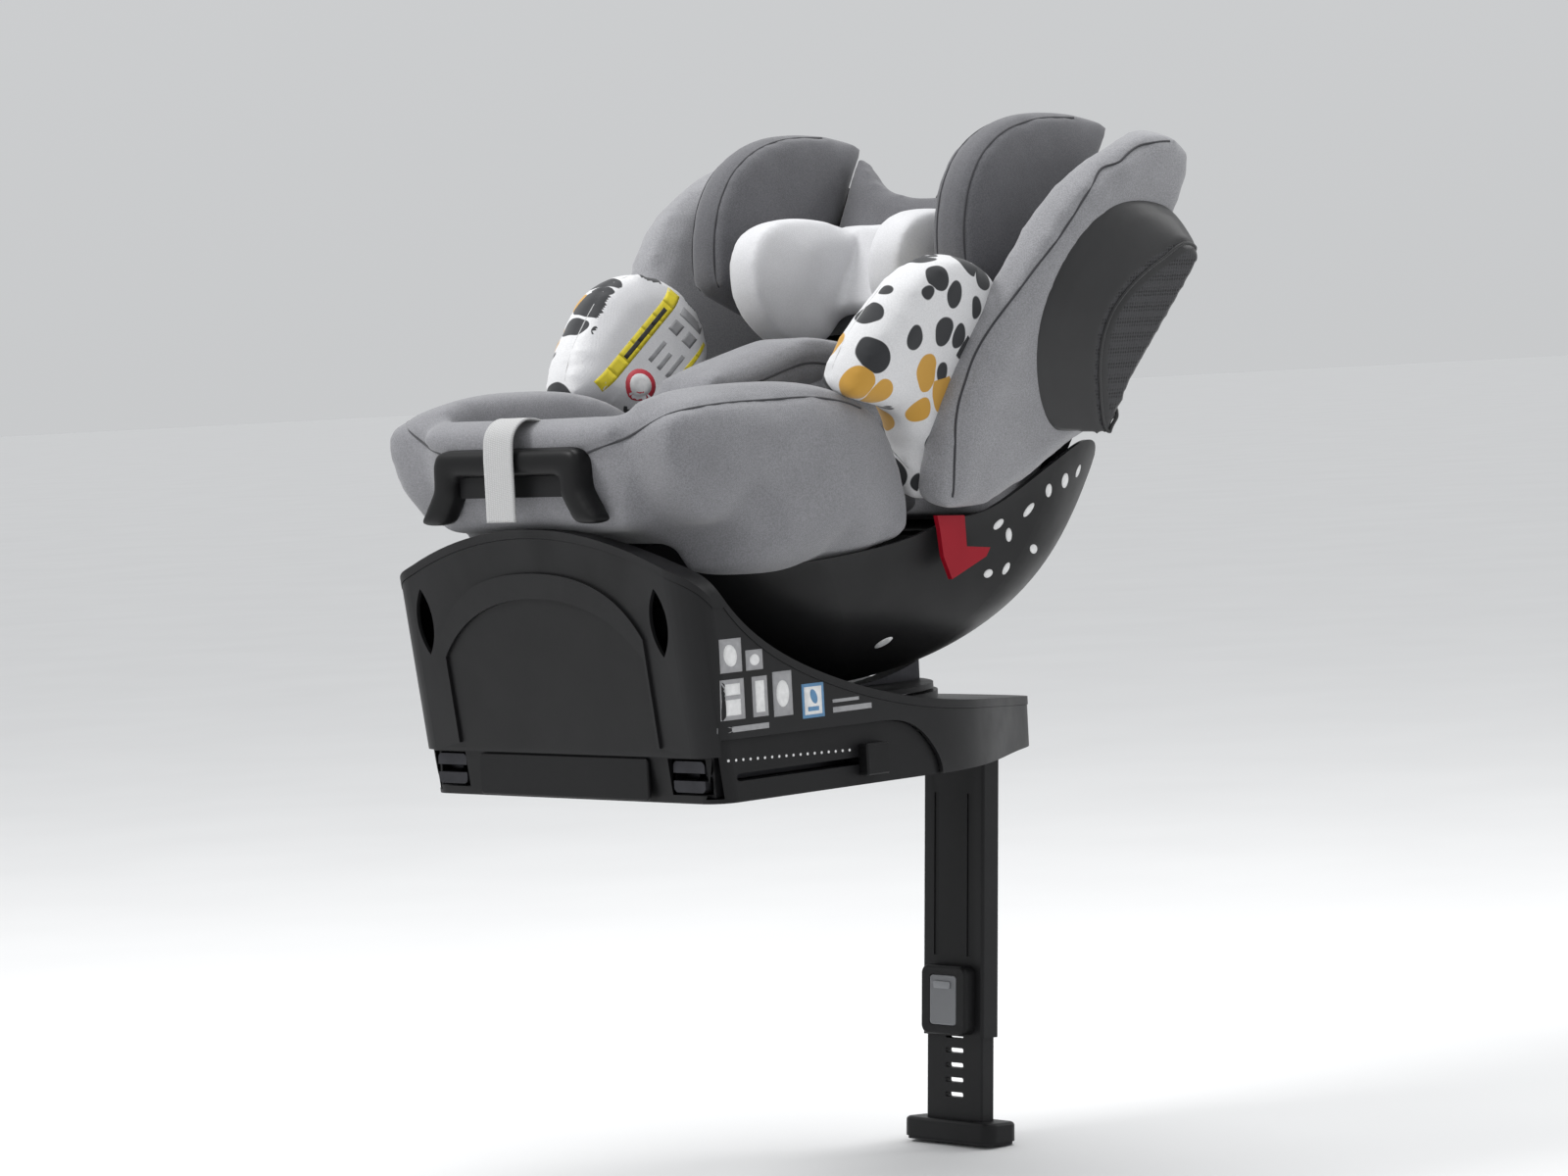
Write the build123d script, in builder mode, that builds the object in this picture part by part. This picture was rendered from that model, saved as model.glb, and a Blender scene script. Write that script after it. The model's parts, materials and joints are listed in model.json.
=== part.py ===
from build123d import *
from math import cos, radians, sin, sqrt
import os

# A rear-facing child seat that turns on a base with rigid anchor arms and a folding load leg.
# Millimetres.  +Z is up from the base's underside, the child faces -Y, and the origin is the
# turntable's axis on the underside.  The outlines are drawn on a base 400 wide, and save()
# writes every piece at drawing_scale of that, which is the seat's real size.

# ---------------------------------------------------------------- driving dimensions
drawing_scale = 0.88             # real size over drawn size: the real base is 352 wide
base_half_width = 200.0
panel_foot_y = -300.0            # outer face of the back panel at the underside
panel_lean = 0.142               # how far that face leans back for each mm of height
panel_top_z = 248.0
nose_y = 260.0
wall = 4.0
seam_gap = 0.3
deck_skin = 8.0                  # depth of the top cover's edge
dish_skin = 6.0                  # thickness of the top cover inside the round recess
recess_floor_z = 68.0            # floor of the turntable recess

seat_sweep_radius = 296.0        # the turning seat stays inside this below panel_clear_z
panel_clear_z = 253.0
recline_z = 410.0                # height of the recline axis
shell_radius = 332.0             # underside of the seat shell, about the recline axis
shell_half_width = 187.0
shell_wall = 4.0
rail_radius = 334.5

hinge_y = 230.0                  # load leg's fold axis
hinge_z = 22.0
leg_rake = 4.5                   # degrees
leg_width = 80.0
leg_depth = 24.0
leg_wall = 2.5

anchor_x = 140.0 / drawing_scale  # anchor arms stand a real 280 mm apart
anchor_z = 24.0

back_lean = 25.0                 # degrees from upright
back_foot_y = 200.0              # a point on the backrest's rear face
back_foot_z = 288.0
splay = 14.6                     # degrees that the wings lean outwards
splay_foot_z = 240.0
wing_inner_x = 175.0             # at splay_foot_z
wing_thickness = 42.0

os.makedirs("parts", exist_ok=True)


def save(part, name):
    """Write one finished piece at its real size, labelled with its name."""
    real_size = scale(part, by=drawing_scale)
    real_size.label = name
    export_step(real_size, f"parts/{name}.step")


def both_sides(part, stem):
    """Write a piece that stands on +X as the left one and its mirror image as the right one."""
    save(part, stem + "_left")
    save(mirror(part, about=Plane.YZ), stem + "_right")


def as_pair(part, name):
    """Write a piece that stands on +X and its mirror image as two solids of one node."""
    with BuildPart() as pair:
        add(part)
        add(mirror(part, about=Plane.YZ))
    save(pair.part, name)


def back_point(rise, depth):
    """(Y, Z) of a point that is rise up the backrest's rear face and depth in front of it."""
    lean = radians(back_lean)
    return (back_foot_y + rise * sin(lean) - depth * cos(lean),
            back_foot_z + rise * cos(lean) + depth * sin(lean))


# ---------------------------------------------------------------- base shells
def panel_y(z):
    """Y of the back panel's outer face at height z."""
    return panel_foot_y - panel_lean * z


def base_volume(inset, drop, dish_extra, bottom=0.0):
    """The base's outer form, drawn in at the sides, lowered on top and hollowed by the dish."""
    half_width = base_half_width - inset
    front = nose_y - inset
    with BuildPart() as volume:
        with BuildSketch(Plane.XY.offset(bottom)):
            with BuildLine():
                straight = Polyline((0, -400), (half_width, -400), (half_width, -40))
                nose = Spline(straight @ 1, (half_width - 12, 45), (half_width - 42, 110),
                              (half_width - 94, front - 60), (0, front),
                              tangents=[(0, 1), (-1, 0)])
                mirror(straight, about=Plane.YZ)
                mirror(nose, about=Plane.YZ)
            make_face()
        extrude(amount=300)
        with BuildSketch(Plane.YZ):
            with BuildLine():
                top_z = panel_top_z - drop
                back = Polyline((nose_y + 20, bottom), (panel_y(bottom) + inset, bottom),
                                (panel_y(top_z) + inset, top_z), (-318 - 0.5 * inset, top_z))
                rim = Spline(back @ 1, (-259, 158 - drop), (-151, 102 - drop), (-25, 71 - drop),
                             (91, 60 - drop), (187, 52 - drop), (nose_y + 20, 45 - drop))
                Line(rim @ 1, back @ 0)
            make_face()
        extrude(amount=base_half_width + 20, both=True, mode=Mode.INTERSECT)
        rear_edges = volume.edges().filter_by(
            lambda edge: edge.length > 100 and edge.center().Y < panel_foot_y
            and abs(abs(edge.center().X) - half_width) < 1)
        fillet(rear_edges, radius=28 - inset)
        with BuildSketch(Plane.XZ):
            with BuildLine():
                crown = ThreePointArc((-162, 216 - drop), (0, panel_top_z - drop),
                                      (162, 216 - drop))
                shoulder = Spline(crown @ 1, (186 - inset, 206 - drop),
                                  (half_width, 182 - drop), tangents=[crown % 1, (0, -1)])
                mirror(shoulder, about=Plane.YZ)
                Polyline(shoulder @ 1, (half_width, bottom), (-half_width, bottom),
                         (-half_width, 182 - drop))
            make_face()
        extrude(amount=420, both=True, mode=Mode.INTERSECT)
        with BuildSketch(Plane.XZ):
            with BuildLine():
                floor = recess_floor_z - dish_extra
                grow = dish_extra
                Polyline((0, 320), (0, floor), (150 + grow, floor), (199 + grow, 84 - grow),
                         (241 + grow, 102 - grow), (276 + grow, 127 - grow),
                         (302 + grow, 158 - grow), (302 + grow, 320), close=True)
            make_face()
        revolve(axis=Axis.Z, mode=Mode.SUBTRACT)
    return volume.part


def tray_cut(gap):
    """The space under the housing's lower edge that the tray fills."""
    with BuildPart() as space:
        with BuildSketch(Plane.YZ):
            with BuildLine():
                low = Polyline((-9 - gap, -20), (-400, -20), (-400, 42 - gap), (-292, 42 - gap),
                               (-292, 57 - gap), (-98, 56 - gap))
                Spline(low @ 1, (-39 - gap, 43 - gap), (-15 - gap, 17), low @ 0,
                       tangents=[(1, 0), (0, -1)])
            make_face()
        extrude(amount=260, both=True)
    return space.part


outer_form = base_volume(0, 0, 0)
under_deck = base_volume(0, deck_skin, dish_skin, bottom=-20)
housing_form = base_volume(0.6, deck_skin + seam_gap, dish_skin + seam_gap)
housing_inside = base_volume(wall + 0.6, deck_skin + wall, dish_skin + wall, bottom=-20)

pivot_radius = 20.0

with BuildPart() as base_deck:
    add(outer_form)
    # level ring under the turntable
    with BuildSketch(Plane.XY.offset(recess_floor_z - 24)):
        Circle(136)
    extrude(amount=24)
    add(under_deck, mode=Mode.SUBTRACT)
    with BuildSketch(Plane.XY.offset(recess_floor_z - 20)):
        Circle(pivot_radius)
    extrude(amount=40, mode=Mode.SUBTRACT)
save(base_deck.part, "base_deck")

# ---------------------------------------------------------------- housing, tray and bottom cover
screw_places = [(x, y) for x in (-101, 101) for y in (-265, -60, 60, 150)]
screw_head_radius = 4.5
channel_half_width = 66.0        # open channel that the folded leg lies in
channel_end_y = -192.0
grip_middle = 157.0
channel_height = 53.0

with BuildPart() as base_housing:
    add(housing_form)
    add(housing_inside, mode=Mode.SUBTRACT)
    add(tray_cut(0), mode=Mode.SUBTRACT)
    # raised arch on the back panel, with a sunken field inside it
    with BuildSketch(Plane.XZ.offset(-panel_foot_y - 6)):
        with BuildLine():
            outer = Spline((-136, 148), (-108, 180), (0, 208), (108, 180), (136, 148))
            Polyline(outer @ 1, (136, 50), (-136, 50), outer @ 0)
        make_face()
        with BuildLine():
            inner = Spline((-133, 130), (-104, 157), (0, 185), (104, 157), (133, 130))
            Polyline(inner @ 1, (133, 46), (-133, 46), inner @ 0)
        make_face(mode=Mode.SUBTRACT)
    arch_rib = extrude(amount=40, mode=Mode.PRIVATE)
    rib_skin = base_volume(-2.5, deck_skin + seam_gap, dish_skin + seam_gap)
    add((arch_rib & rib_skin) - housing_form - housing_inside - tray_cut(0))
    # grip slots either side of the arch
    for grip_x in (-grip_middle, grip_middle):
        with BuildSketch(Plane.XZ.offset(-panel_foot_y - 2)):
            with BuildLine():
                inner_arc = ThreePointArc((grip_x, 132), (grip_x - 11, 163), (grip_x, 194))
                ThreePointArc(inner_arc @ 1, (grip_x + 11, 163), inner_arc @ 0)
            make_face()
        extrude(amount=60, mode=Mode.SUBTRACT)
    with BuildSketch(Plane.XY.offset(recess_floor_z - 20)):
        Circle(pivot_radius + 12)
    extrude(amount=40, mode=Mode.SUBTRACT)
    # window for the release lever in the nose
    with BuildSketch(Plane.XZ.offset(-nose_y - 20)):
        with Locations((0, 28)):
            Rectangle(121, 17)
    extrude(amount=60, mode=Mode.SUBTRACT)
save(base_housing.part, "base_housing")

with BuildPart() as base_tray:
    add(base_volume(5, deck_skin, dish_skin) & tray_cut(0.5))
    with BuildSketch(Plane.XY.offset(wall)):
        with Locations((0, -154)):
            Rectangle(2 * (base_half_width - 5 - wall), 282)
    extrude(amount=80, mode=Mode.SUBTRACT)
    # roof and walls of the leg channel
    with BuildSketch(Plane.XY):
        with Locations((0, (channel_end_y - 13) / 2)):
            Rectangle(2 * channel_half_width + 6, -13 - channel_end_y + 6)
    extrude(amount=channel_height + 2)
    with BuildSketch(Plane.XY.offset(-1)):
        with Locations((0, channel_end_y / 2 + 10)):
            Rectangle(2 * channel_half_width, -channel_end_y + 20)
    extrude(amount=channel_height + 1, mode=Mode.SUBTRACT)
    # mouths for the anchor arms, the tracks of their sliders, and notches for the frame
    for side in (-1, 1):
        with BuildSketch(Plane.XZ.offset(30)):
            with Locations((side * 82, 19)):
                Rectangle(23, 28)
        extrude(amount=-40, mode=Mode.SUBTRACT)
        with BuildSketch(Plane.XZ.offset(270)):
            with Locations((side * anchor_x, anchor_z)):
                Rectangle(46, 33)
        extrude(amount=60, mode=Mode.SUBTRACT)
        with BuildSketch(Plane.YZ.offset(side * 175)):
            with Locations((-178, 22)):
                SlotOverall(190, 7)
        extrude(amount=side * 40, mode=Mode.SUBTRACT)
    with BuildSketch(Plane.XY):
        with Locations(*screw_places):
            Circle(screw_head_radius + 0.2)
    extrude(amount=2, mode=Mode.SUBTRACT)
save(base_tray.part, "base_tray")

with BuildPart() as front_bottom_cover:
    add(base_volume(5.2, deck_skin + 20, dish_skin))
    with BuildSketch(Plane.XY.offset(-1)):
        with Locations((0, -208)):
            Rectangle(500, 400)
        Rectangle(2 * channel_half_width, 600)
    extrude(amount=300, mode=Mode.SUBTRACT)
    with BuildSketch(Plane.XY.offset(3.5)):
        with Locations((channel_half_width + 103, 200), (-channel_half_width - 103, 200)):
            Rectangle(200, 420)
    extrude(amount=300, mode=Mode.SUBTRACT)
    with BuildSketch(Plane.XY):
        with Locations(*screw_places):
            Circle(screw_head_radius + 0.2)
    extrude(amount=2, mode=Mode.SUBTRACT)
save(front_bottom_cover.part, "front_bottom_cover")

with BuildPart() as lower_back_cover:
    with BuildSketch(Plane.XZ.offset(-panel_foot_y + 1.2)):
        with Locations((0, 21)):
            RectangleRounded(226, 38, 4)
    extrude(amount=3)
    chamfer(lower_back_cover.faces().sort_by(Axis.Y)[0].edges(), length=1)
save(lower_back_cover.part, "lower_back_cover")

# ---------------------------------------------------------------- steel frame inside the base
rail_inner_x = 72.0
rail_outer_x = 92.0

with BuildPart() as base_frame:
    for side in (-1, 1):
        with BuildSketch(Plane.XZ.offset(-205)):
            with Locations((side * (rail_inner_x + rail_outer_x) / 2, 17)):
                Rectangle(rail_outer_x - rail_inner_x, 24)
                Rectangle(rail_outer_x - rail_inner_x - 5, 19, mode=Mode.SUBTRACT)
        extrude(amount=485)
    with BuildSketch(Plane.XY.offset(5)):
        with Locations((0, -235)):
            Rectangle(2 * rail_inner_x, 30)
    extrude(amount=20)
    with BuildSketch(Plane.XY.offset(29)):
        with Locations((0, -235)):
            Rectangle(2 * rail_outer_x, 30)
    extrude(amount=3)
save(base_frame.part, "base_frame")

with BuildPart() as leg_hinge_bracket:
    for side in (-1, 1):
        with BuildSketch(Plane.YZ.offset(side * 43)):
            with Locations((hinge_y - 8, 21)):
                RectangleRounded(42, 26, 6)
            with Locations((hinge_y, hinge_z)):
                Circle(5, mode=Mode.SUBTRACT)
        extrude(amount=side * 5)
        with BuildSketch(Plane.XY.offset(8)):
            with Locations((side * 57, hinge_y - 16)):
                Rectangle(18, 26)
        extrude(amount=4)
save(leg_hinge_bracket.part, "leg_hinge_bracket")

with BuildPart() as leg_hinge_pin:
    with BuildSketch(Plane.YZ.offset(-51)):
        with Locations((hinge_y, hinge_z)):
            Circle(5)
    extrude(amount=102)
    with BuildSketch(Plane.YZ.offset(51)):
        with Locations((hinge_y, hinge_z)):
            Circle(7)
    extrude(amount=3)
save(leg_hinge_pin.part, "leg_hinge_pin")

with BuildPart() as base_screws:
    for x, y in screw_places:
        with BuildSketch(Plane.XY.offset(0.3)):
            with Locations((x, y)):
                Circle(screw_head_radius)
        extrude(amount=1.6)
save(base_screws.part, "base_screws")

# ---------------------------------------------------------------- spin release lever in the nose
with BuildPart() as spin_release_lever:
    with BuildSketch(Plane.XY.offset(20)):
        with BuildLine():
            behind = ThreePointArc((-56, nose_y - 16), (0, nose_y + 2), (56, nose_y - 16))
            ahead = ThreePointArc((-58, nose_y - 7), (0, nose_y + 13), (58, nose_y - 7))
            Line(behind @ 0, ahead @ 0)
            Line(behind @ 1, ahead @ 1)
        make_face()
    extrude(amount=16)
save(spin_release_lever.part, "spin_release_lever")

# ---------------------------------------------------------------- turntable
with BuildPart() as turntable_bearing:
    with BuildSketch(Plane.XY.offset(recess_floor_z)):
        Circle(118)
        Circle(96, mode=Mode.SUBTRACT)
    extrude(amount=2)
save(turntable_bearing.part, "turntable_bearing")

with BuildPart() as spin_pivot:
    with BuildSketch(Plane.XY.offset(recess_floor_z - 12.6)):
        Circle(24.5)
    extrude(amount=2)
    with BuildSketch(Plane.XY.offset(recess_floor_z - 10.6)):
        Circle(pivot_radius)
    extrude(amount=17.6)
save(spin_pivot.part, "spin_pivot")

with BuildPart() as turntable_plate:
    with BuildSketch(Plane.XY.offset(recess_floor_z + 2.3)):
        Circle(132)
        Circle(pivot_radius + 0.06, mode=Mode.SUBTRACT)
    extrude(amount=5)
save(turntable_plate.part, "turntable_plate")

with BuildPart() as recline_rail:
    with BuildSketch(Plane.YZ.offset(40)):
        with BuildLine():
            rail_end = 110.0
            rail_end_z = recline_z - sqrt(rail_radius ** 2 - rail_end ** 2)
            foot = Polyline((-rail_end, rail_end_z), (-rail_end, recess_floor_z + 7.3),
                            (rail_end, recess_floor_z + 7.3), (rail_end, rail_end_z))
            ThreePointArc(foot @ 1, (0, recline_z - rail_radius), foot @ 0)
        make_face()
    extrude(amount=20)
as_pair(recline_rail.part, "recline_rails")

# ---------------------------------------------------------------- anchor arms
with BuildPart() as isofix_guide:
    with BuildSketch(Plane.XZ.offset(60)):
        with Locations((anchor_x, anchor_z)):
            Rectangle(51, 37)
            Rectangle(46, 32, mode=Mode.SUBTRACT)
    extrude(amount=230)
    with BuildSketch(Plane.YZ.offset(anchor_x + 10)):
        with Locations((-178, 22)):
            SlotOverall(190, 7)
    extrude(amount=30, mode=Mode.SUBTRACT)
as_pair(isofix_guide.part, "isofix_guides")

with BuildPart() as isofix_arm:
    with BuildSketch(Plane.XZ.offset(72)):
        with Locations((anchor_x, anchor_z)):
            RectangleRounded(26, 16, 3)
            RectangleRounded(21, 11, 1.5, mode=Mode.SUBTRACT)
    extrude(amount=186)
both_sides(isofix_arm.part, "isofix_arm")

jaw_pin = (-277.0, 14.0)
anchor_bar_radius = 3.1 / drawing_scale

with BuildPart() as isofix_head:
    with BuildSketch(Plane.XZ.offset(258)):
        with Locations((anchor_x, anchor_z)):
            RectangleRounded(40, 28, 5)
    extrude(amount=39)
    # the open throat that takes the car's anchor bar
    with BuildSketch(Plane.YZ.offset(anchor_x - 25)):
        with Locations((-292, 24)):
            SlotOverall(24, 2 * anchor_bar_radius)
    extrude(amount=50, mode=Mode.SUBTRACT)
    # pocket for the jaw
    with BuildSketch(Plane.YZ.offset(anchor_x - 4)):
        with Locations((-278, 20)):
            Rectangle(28, 24)
    extrude(amount=8, mode=Mode.SUBTRACT)
    with BuildSketch(Plane.XY.offset(33.6)):
        with Locations((anchor_x, -276)):
            Rectangle(14.6, 14.6)
    extrude(amount=5, mode=Mode.SUBTRACT)
    # the jaw's pin, riveted into the head across the pocket
    with BuildSketch(Plane.YZ.offset(anchor_x - 10)):
        with Locations(jaw_pin):
            Circle(2)
    extrude(amount=20)
both_sides(isofix_head.part, "isofix_head")

with BuildPart() as isofix_jaw:
    with BuildSketch(Plane.YZ.offset(anchor_x - 3)):
        with BuildLine():
            Polyline((-281, 11), (-273, 11), (-273, 18), (-279, 19.5), (-281, 19.5), close=True)
        make_face()
        with Locations(jaw_pin):
            Circle(2.05, mode=Mode.SUBTRACT)
    extrude(amount=6)
both_sides(isofix_jaw.part, "isofix_jaw")

with BuildPart() as isofix_release:
    with BuildSketch(Plane.XY.offset(36.3)):
        with Locations((anchor_x, -276)):
            RectangleRounded(14, 14, 2)
    extrude(amount=2.6)
both_sides(isofix_release.part, "isofix_release")

with BuildPart() as isofix_slider:
    with BuildSketch(Plane.YZ.offset(anchor_x + 13)):
        with Locations((-103, 22)):
            RectangleRounded(22, 5.5, 1)
    extrude(amount=base_half_width - anchor_x - 7)
    with BuildSketch(Plane.YZ.offset(base_half_width - 4.6)):
        with Locations((-103, 23)):
            RectangleRounded(29, 29, 2)
    extrude(amount=11)
    chamfer(isofix_slider.faces().sort_by(Axis.X)[-1].edges(), length=1.5)
both_sides(isofix_slider.part, "isofix_slider")

# ---------------------------------------------------------------- load leg
rake = radians(leg_rake)
leg_plane = Plane(origin=(0, hinge_y, hinge_z), x_dir=(1, 0, 0), z_dir=(0, -sin(rake), -cos(rake)))
tube_end = 309.0                 # distances along the leg from its fold axis
collar_start = 239.0
foot_start = 391.0
foot_thickness = 22.0


def along_leg(distance):
    """The leg's cross-section plane at a distance from its fold axis; its Y points back."""
    return leg_plane.offset(distance)


with BuildPart() as leg_outer_tube:
    with BuildSketch(leg_plane):
        RectangleRounded(leg_width, leg_depth, 3)
        RectangleRounded(leg_width - 2 * leg_wall, leg_depth - 2 * leg_wall, 1.5,
                         mode=Mode.SUBTRACT)
    extrude(amount=tube_end)
    # rounded end around the hinge pin
    with BuildSketch(Plane.YZ.offset(-leg_width / 2)):
        with Locations((hinge_y, hinge_z)):
            Circle(leg_depth / 2)
            Circle(9.5, mode=Mode.SUBTRACT)
    extrude(amount=leg_width)
    with BuildSketch(Plane.YZ.offset(-leg_width / 2)):
        with Locations((hinge_y, hinge_z)):
            Circle(9.6)
            Circle(5.05, mode=Mode.SUBTRACT)
    extrude(amount=14)
    with BuildSketch(Plane.YZ.offset(leg_width / 2)):
        with Locations((hinge_y, hinge_z)):
            Circle(9.6)
            Circle(5.05, mode=Mode.SUBTRACT)
    extrude(amount=-14)
    with BuildSketch(Plane.YZ.offset(-leg_width / 2 - 1)):
        with Locations((hinge_y, hinge_z)):
            Circle(5.05)
    extrude(amount=leg_width + 2, mode=Mode.SUBTRACT)
    # two long grooves pressed into the rear face
    with BuildSketch(along_leg(70)):
        with Locations((-22, leg_depth / 2), (22, leg_depth / 2)):
            Rectangle(6, 2)
    extrude(amount=160, mode=Mode.SUBTRACT)
save(leg_outer_tube.part, "leg_outer_tube")


def behind_leg(distance, out):
    """Plane facing back, out behind the leg's centreline at a distance along it."""
    origin = leg_plane.origin + leg_plane.z_dir * distance + leg_plane.y_dir * out
    return Plane(origin=origin, x_dir=(1, 0, 0), z_dir=leg_plane.y_dir)


collar_back = 26.0               # the collar's rear face, from the leg's centreline
collar_middle = 273.0
button_size = (35.0, 49.0)

with BuildPart() as leg_collar:
    with BuildSketch(behind_leg(collar_middle, leg_depth / 2 + seam_gap)):
        RectangleRounded(60, 68, 9)
    extrude(amount=collar_back - leg_depth / 2 - seam_gap)
    fillet(leg_collar.faces().sort_by(Axis(leg_plane.origin, leg_plane.y_dir))[-1].edges(),
           radius=3)
    with BuildSketch(behind_leg(collar_middle, leg_depth / 2 + 4)):
        RectangleRounded(button_size[0] + 1, button_size[1] + 1, 4.5)
    extrude(amount=20, mode=Mode.SUBTRACT)
save(leg_collar.part, "leg_collar")

with BuildPart() as leg_button:
    with BuildSketch(behind_leg(collar_middle, leg_depth / 2 + 7.5)):
        RectangleRounded(button_size[0], button_size[1], 4)
    extrude(amount=collar_back - leg_depth / 2 - 7)
    fillet(leg_button.faces().sort_by(Axis(leg_plane.origin, leg_plane.y_dir))[-1].edges(),
           radius=1.5)
    with BuildSketch(behind_leg(collar_middle - 15, collar_back)):
        RectangleRounded(22, 7, 2)
    extrude(amount=2.2)
save(leg_button.part, "leg_button")

with BuildPart() as leg_inner_tube:
    with BuildSketch(along_leg(150)):
        RectangleRounded(74, 18, 2)
        with Locations((0, -5)):
            Rectangle(62, 10, mode=Mode.SUBTRACT)
    extrude(amount=foot_start - 150)
    # adjustment slots through the web
    with BuildSketch(behind_leg(0, -20)):
        for slot in range(15):
            with Locations((0, 14.5 * slot - 367)):
                RectangleRounded(24, 5, 2)
    extrude(amount=40, mode=Mode.SUBTRACT)
save(leg_inner_tube.part, "leg_inner_tube")

with BuildPart() as leg_foot:
    with BuildSketch(along_leg(foot_start)):
        RectangleRounded(118, 44, 12)
    extrude(amount=foot_thickness - 3)
    fillet(leg_foot.faces().sort_by(Axis(leg_plane.origin, leg_plane.z_dir))[0].edges(), radius=4)
save(leg_foot.part, "leg_foot")

with BuildPart() as foot_sole:
    with BuildSketch(along_leg(foot_start + foot_thickness - 3)):
        RectangleRounded(114, 40, 10)
    extrude(amount=3)
save(foot_sole.part, "foot_sole")


# ---------------------------------------------------------------- seat shell
def shell_section(z, inset):
    """Half sizes and corner radius of the shell's rounded plan section at height z."""
    half_length = min(sqrt(shell_radius ** 2 - (recline_z - z) ** 2),
                      286 + 0.3 * max(0, z - 250))
    fill = max(0.0, min(1.0, (z - 75) / 165))
    flare = 0.35 * max(0, z - 215)
    half_width = shell_half_width * sqrt(1 - (1 - fill) ** 2.3) + flare
    corner = min(0.68 * half_width, 0.85 * half_length)
    return half_width - inset, half_length - inset, corner - 0.6 * inset


def shell_form(inset, heights, rise=0.0):
    """The bowl lofted through its plan sections, its walls drawn in by inset."""
    with BuildPart() as bowl:
        for z in heights:
            half_width, half_length, corner = shell_section(z, inset)
            with BuildSketch(Plane.XY.offset(z + rise)):
                RectangleRounded(2 * half_width, 2 * half_length, corner)
        loft()
    return bowl.part


shell_heights = (80, 88, 102, 126, 160, 205, 250, 300)

with BuildPart() as above_rim:
    with BuildSketch(Plane.YZ):
        with BuildLine():
            start = Polyline((-345, 420), (-345, 205.5), (-188, 205.5))
            sweep_up = Spline(start @ 1, (-86, 211), (-3, 225), (31, 235),
                              tangents=[(1, 0), (1, 0.25)])
            arm_rise = Spline(sweep_up @ 1, (101, 251), (158, 284), (196, 297), (224, 293),
                              (238, 282))
            Polyline(arm_rise @ 1, (345, 282), (345, 420), start @ 0)
        make_face()
    extrude(amount=260, both=True)

with BuildPart() as seat_shell:
    add(shell_form(0, shell_heights))
    add(shell_form(shell_wall, shell_heights, rise=shell_wall), mode=Mode.SUBTRACT)
    add(above_rim.part, mode=Mode.SUBTRACT)
save(seat_shell.part, "seat_shell")

# ---------------------------------------------------------------- seat structure
def side_slab(points, x_from, x_to):
    """A solid with a (Y, Z) outline between two X positions."""
    with BuildPart() as slab:
        with BuildSketch(Plane.YZ.offset(x_from)):
            with BuildLine():
                Polyline(*points, close=True)
            make_face()
        extrude(amount=x_to - x_from)
    return slab.part


def smooth_slab(curve_points, corner_points, x_from, x_to):
    """Like side_slab, with the first points joined by a smooth curve."""
    with BuildPart() as slab:
        with BuildSketch(Plane.YZ.offset(x_from)):
            with BuildLine():
                curve = Spline(*curve_points)
                Polyline(curve @ 1, *corner_points, curve @ 0)
            make_face()
        extrude(amount=x_to - x_from)
    return slab.part


with BuildPart() as spin_keepout:
    with BuildSketch(Plane.XZ):
        with BuildLine():
            Polyline((seat_sweep_radius, 60), (seat_sweep_radius, panel_clear_z - 35),
                     (seat_sweep_radius + 18, panel_clear_z), (600, panel_clear_z), (600, 60),
                     close=True)
        make_face()
    revolve(axis=Axis.Z)

belt_guide = side_slab([(-4, 238), (33, 236), (34, 207), (66, 204), (60, 196), (12, 178),
                        (2, 200), (-1, 225)], shell_half_width + 9, shell_half_width + 14)
as_pair(belt_guide, "belt_guides")


def splayed_slab(curve_points, corner_points, inner_x, thickness):
    """A smooth slab whose face leans outwards; inner_x is its inner face at splay_foot_z."""
    tilt = radians(splay)
    plane = Plane(origin=(inner_x, 0, splay_foot_z), x_dir=(0, 1, 0),
                  z_dir=(cos(tilt), 0, -sin(tilt)))
    curve_points = [(y, (z - splay_foot_z) / cos(tilt)) for y, z in curve_points]
    corner_points = [(y, (z - splay_foot_z) / cos(tilt)) for y, z in corner_points]
    with BuildPart() as slab:
        with BuildSketch(plane):
            with BuildLine():
                curve = Spline(*curve_points)
                Polyline(curve @ 1, *corner_points, curve @ 0)
            make_face()
        extrude(amount=thickness)
    return slab.part


back_plane = Plane(origin=(0, back_foot_y, back_foot_z), x_dir=(1, 0, 0),
                   z_dir=(0, -cos(radians(back_lean)), sin(radians(back_lean))))


def back_slab(half_low, low, half_high, high, depth, thickness, dip=0.0):
    """A slab parallel to the backrest between two heights up its rear face, dipped on top."""
    with BuildPart() as slab:
        with BuildSketch(back_plane.offset(depth)):
            with BuildLine():
                sides = Polyline((-half_high, high), (-half_low, low), (half_low, low),
                                 (half_high, high))
                if dip > 0:
                    ThreePointArc(sides @ 1, (0, high - dip), sides @ 0)
                else:
                    Line(sides @ 1, sides @ 0)
            make_face()
        extrude(amount=thickness)
    return slab.part


def between_wings(rise):
    """Half the space between the wings' inner faces at a rise up the back."""
    height = back_foot_z + rise * cos(radians(back_lean))
    return wing_inner_x + (height - splay_foot_z) * sin(radians(splay)) / cos(radians(splay)) - 2


back_low = -85.0
back_high = 285.0
back_dip = 45.0
headrest_dip = 52.0
shell_inside = shell_form(shell_wall + 0.6, shell_heights, rise=shell_wall)
with BuildPart() as low_space:
    with BuildSketch(Plane.XY.offset(150)):
        Rectangle(900, 900)
    extrude(amount=149)
outside_shell = low_space.part - shell_inside

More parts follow.
